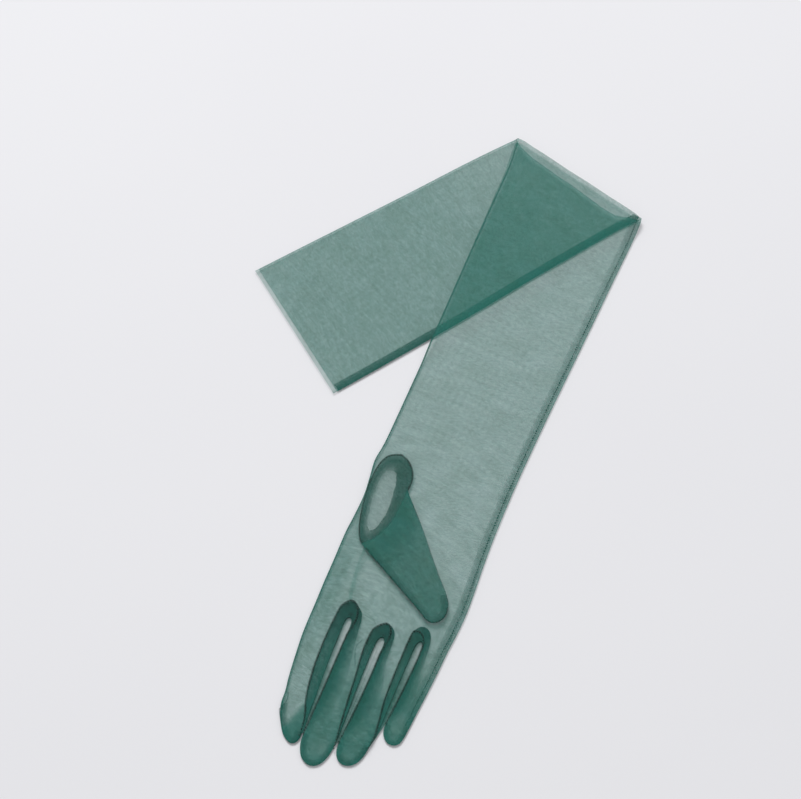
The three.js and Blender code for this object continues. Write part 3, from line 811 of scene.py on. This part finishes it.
def makeThumbHoleSeam():
    spec = holeSeam
    outer, inner = ringPath[:, :2], ringPath[:, 2:]
    far, size = spec["ragged"]
    ragged = inner + far * np.stack([ripple(inner, 1.5, size), ripple(inner, 7.5, size)], 1)
    right = smoothStep(outer[:, 0], *spec["right"])
    rows = [(share, height, thick + more * right) for share, height, thick, more in holeRows]
    low = slice(*(len(ringPath) * row // len(thumbRing) for row in spec["innerStitches"]))
    for path in (inner[low], outer):
        seams.append((path, np.full(len(path), spec["stitchHeight"])))
    return makeMesh("thumbHoleSeamNet", [strip(outer, ragged, rows)], seamCloth)


# Share of the allowance, and plies
thumbSeamRows = [(0.05, 2.4), (0.3, 2.0), (0.75, 1.5), (1.0, 0)]
thumbSeam = {"step": 2.0, "narrow": 0.9, "stitchIn": 0.8, "unsewn": 5}  # unsewn is a number of points at its end


def makeThumbSideSeam():
    spec = thumbSeam
    path = evenPath((thumbSpec["upperEdge"][6:] + thumbSpec["lowerEdge"][1:-1])[::-1], spec["step"])
    side = sideOf(path)
    width = thumbSpec["allowance"] * np.linspace(1, spec["narrow"], len(path))[:, None]
    rows = [(share, thumbMiddle, thick) for share, thick in thumbSeamRows]
    sewn = (path + spec["stitchIn"] * side)[: -spec["unsewn"]]
    seams.append((sewn, np.full(len(sewn), thumbMiddle)))
    return makeMesh("thumbSideSeamNet", [strip(path, path + side * width, rows)], seamCloth)


# The side strips and the net turned in at the seams lie over each other in the finger ends: outline, x of its middle,
# where it starts and is full, how much lies in the middle and at the edge, and how much sooner it starts away from
# the middle. The heavier edge and lighter middle are partly these layers and partly painted shade and a painted
# highlight on the rounded finger ends.
fingerEnds = {
    "index": (thumbSideEdge[24:] + slitOne[1:3], -29.5, 81, 93, 2.4, 1.4, 3.2),
    "middle": (slitOne[7:] + middleTip[1:] + slitTwo[1:4], 4, 20, 66, 1.8, 1.8, 1.1),
    "ring": (slitTwo[7:] + ringTip[1:] + slitThree[1:4], 25, 22, 66, 1.9, 1.8, 1.1),
    "little": (slitThree[7:] + seamSideEdge[1:10], 42, 10, 54, 1.8, 1.5, 0.9),
}
endSpec = {
    "step": 2.0,
    "grid": 2.4,
    "rows": (0.5, 1.8),
    "edge": 3.0,  # width of the heavier edge, partly painted shade
    "patches": (0.5, 9),  # how uneven the net is, and the size of the patches
    "front": (5, 14),  # how uneven the line is where it starts
    "wave": (0.2, 7),
}

# Thin dark lines of turned-in net and creases: path, width to its left, plies
edgeLines = [
    (thumbSideEdge[6:], 1.1, 6),
    ([(-34.6, -60), (-33.4, -63.5), (-33.6, -68), (-35.2, -71.5)], 0.6, 4),
    ([(-35.2, -71.5), (-32, -77), (-28.6, -81.5)], 0.6, 3),
    (thumbSideEdge[26:], 4.5, 2.2),
    (middleTip, 4.0, 2.1),
    (ringTip, 4.0, 2.2),
    (seamSideEdge[:7], 3.6, 1.7),
    ([(-6.9, -12.5), (-8.6, -17.5), (-7.6, -21.4), (-6, -25.5), (-4.2, -29)], 0.6, 1.8),
    ([(-14.8, 3.2), (-11.3, 3), (-6.1, 2.7), (-3.2, 0)], 0.6, 1.0),
]
lineRows = [(0, 1), (0.5, 0.9), (1, 0)]  # share of the width, and of the plies


def makeFingerEnds():
    spec = endSpec
    (uneven, patch), (unevenFront, front), (wave, size) = spec["patches"], spec["front"], spec["wave"]
    parts = []
    for outline, centre, start, full, amount, rimAndShade, vee in fingerEnds.values():
        path = evenPath(outline, spec["step"])
        flat, faces = triangulate(path, [], spec["rows"], spec["grid"], spec["grid"])
        # the heavier edge is partly painted shade, the lighter middle partly a painted highlight
        plies = amount * (1 + uneven * ripple(flat, 6.5, patch)) + rimAndShade * bump(distanceTo(flat, path), spec["edge"])
        depth = vee * np.abs(flat[:, 0] - centre) - flat[:, 1] + unevenFront * ripple(flat, 2.5, front)
        plies = plies * smoothStep(depth, start, full)
        heights = middle + wave * ripple(flat, 8.5, size)
        parts.append({"verts": place(flat, heights), "faces": faces, "plies": plies, "uv": flat})
    for path, width, thick in edgeLines:
        line = evenPath(path, spec["step"])
        side = width * sideOf(line)
        rows = [(share, middle, thick * part) for share, part in lineRows]
        parts.append(strip(line, line + side, rows, 1))
    return makeMesh("fingerEndNet", parts, thumbCloth, seamCloth)


# A stitch's size in mm; it is a small bead drawn out along the seam
stitchSpec = {"spacing": 1.9, "length": 1.35, "width": 0.85, "seed": 4, "uneven": (0.75, 1.2), "sides": 6, "rings": 4}


def stitchTree():
    tree = bpy.data.node_groups.new("stitches", "GeometryNodeTree")
    face = tree.interface
    face.new_socket("Geometry", in_out="INPUT", socket_type="NodeSocketGeometry")
    for name in ("Spacing", "Length", "Width"):
        face.new_socket(name, in_out="INPUT", socket_type="NodeSocketFloat")
    face.new_socket("Seed", in_out="INPUT", socket_type="NodeSocketInt")
    face.new_socket("Thread", in_out="INPUT", socket_type="NodeSocketMaterial")
    face.new_socket("Geometry", in_out="OUTPUT", socket_type="NodeSocketGeometry")
    given = tree.nodes.new("NodeGroupInput").outputs
    curve = node(tree, "GeometryNodeMeshToCurve", {"Mesh": given["Geometry"]}).outputs[0]
    dots = node(tree, "GeometryNodeResampleCurve", {"Curve": curve, "Length": given["Spacing"]}, mode="LENGTH")
    tangent = node(tree, "GeometryNodeInputTangent").outputs[0]
    facing = node(tree, "FunctionNodeAlignRotationToVector", {"Vector": tangent}, axis="X").outputs[0]
    size = node(tree, "ShaderNodeCombineXYZ", {"X": given["Length"], "Y": given["Width"], "Z": given["Width"]})
    ball = node(tree, "GeometryNodeMeshUVSphere", {"Segments": stitchSpec["sides"], "Rings": stitchSpec["rings"],
                                                   "Radius": 0.5}).outputs[0]
    bead = node(tree, "GeometryNodeTransform", {"Geometry": ball, "Scale": size.outputs[0]}).outputs[0]
    least, most = stitchSpec["uneven"]
    uneven = node(tree, "FunctionNodeRandomValue", {2: least, 3: most, "Seed": given["Seed"]}, data_type="FLOAT")
    beads = node(tree, "GeometryNodeInstanceOnPoints", {"Points": dots.outputs[0], "Instance": bead,
                                                        "Rotation": facing, "Scale": uneven.outputs[1]})
    real = node(tree, "GeometryNodeRealizeInstances", {"Geometry": beads.outputs[0]}).outputs[0]
    done = node(tree, "GeometryNodeSetMaterial", {"Geometry": real, "Material": given["Thread"]}).outputs[0]
    output = tree.nodes.new("NodeGroupOutput")
    tree.links.new(done, output.inputs[0])
    return tree


def makeStitches():
    verts, edges = [], []
    for points, heights in seams:
        start = len(verts)
        verts += place(points, heights).tolist()
        edges += [(start + i, start + i + 1) for i in range(len(points) - 1)]
    mesh = bpy.data.meshes.new("seamPaths")
    mesh.from_pydata(verts, edges, [])
    paths = bpy.data.objects.new("seamPaths", mesh)
    bpy.context.scene.collection.objects.link(paths)
    modifier = paths.modifiers.new("stitches", "NODES")
    modifier.node_group = stitchTree()
    given = {"Spacing": stitchSpec["spacing"] / 1000, "Length": stitchSpec["length"] / 1000,
             "Width": stitchSpec["width"] / 1000, "Seed": stitchSpec["seed"], "Thread": thread}
    for item in modifier.node_group.interface.items_tree:
        if item.in_out == "INPUT" and item.name in given:
            modifier[item.identifier] = given[item.name]
    view = bpy.context.evaluated_depsgraph_get()
    sewn = bpy.data.objects.new("stitches", bpy.data.meshes.new_from_object(paths.evaluated_get(view)))
    bpy.data.objects.remove(paths)
    bpy.context.scene.collection.objects.link(sewn)
    report("%d faces of stitches" % len(sewn.data.polygons))
    return sewn


trank = makeTrank()
report("trank of %d triangles" % len(trank.data.polygons))
thumb = makeThumb()
strips = {name: makeFourchette(name, rows) for name, rows in fourchettes.items()}
sideSeamNet = makeSideSeam()
holeSeamNet = makeThumbHoleSeam()
thumbSeamNet = makeThumbSideSeam()
fingerEndNet = makeFingerEnds()
stitches = makeStitches()
report("thumb, strips and seams")

dressed = [(trank, ["trank"], "net"), (thumb, ["thumb"], "net"), (sideSeamNet, ["side_seam"], "seam_net"),
           (holeSeamNet, ["thumb_hole_seam"], "seam_net"), (thumbSeamNet, ["thumb_side_seam"], "seam_net"),
           (fingerEndNet, [], "seam_net"), (stitches, [], "seam_net")]
dressed += [(piece, [name], "fourchette_net") for name, piece in strips.items()]
for piece, nodes, slot in dressed:
    if nodes:
        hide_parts(*nodes)
    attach(piece, "root")
